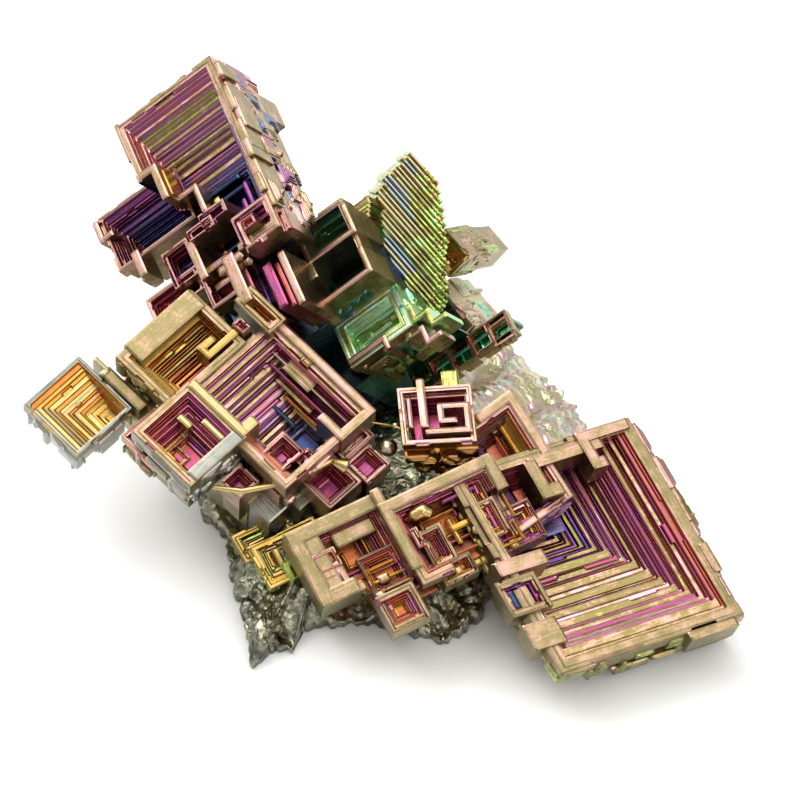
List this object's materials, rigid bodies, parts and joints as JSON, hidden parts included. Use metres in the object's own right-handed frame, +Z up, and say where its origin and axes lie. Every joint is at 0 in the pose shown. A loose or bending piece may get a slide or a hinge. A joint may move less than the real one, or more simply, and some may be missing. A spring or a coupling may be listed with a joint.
{
  "type": "bismuth hopper crystal",
  "caption": "Cluster of square stepped hopper crystals with hollow spiral faces and an iridescent oxide film, grown together on a rough flat-bottomed skin of the same metal",
  "frame": {"origin": "on the resting plane, at the middle of the layout that the crystals grow out of", "axes": "+X is the longest extent, from the small left crystal to the big right one; +Y points back; +Z is up from the flat underside"},
  "size_m": [0.0717, 0.0624, 0.0342],
  "materials": {
    "bismuth": "bare bismuth under a thin interference-coloured oxide film"
  },
  "bodies": {
    "root": {"bismuth_cluster": "bismuth"}
  },
  "joints": []
}
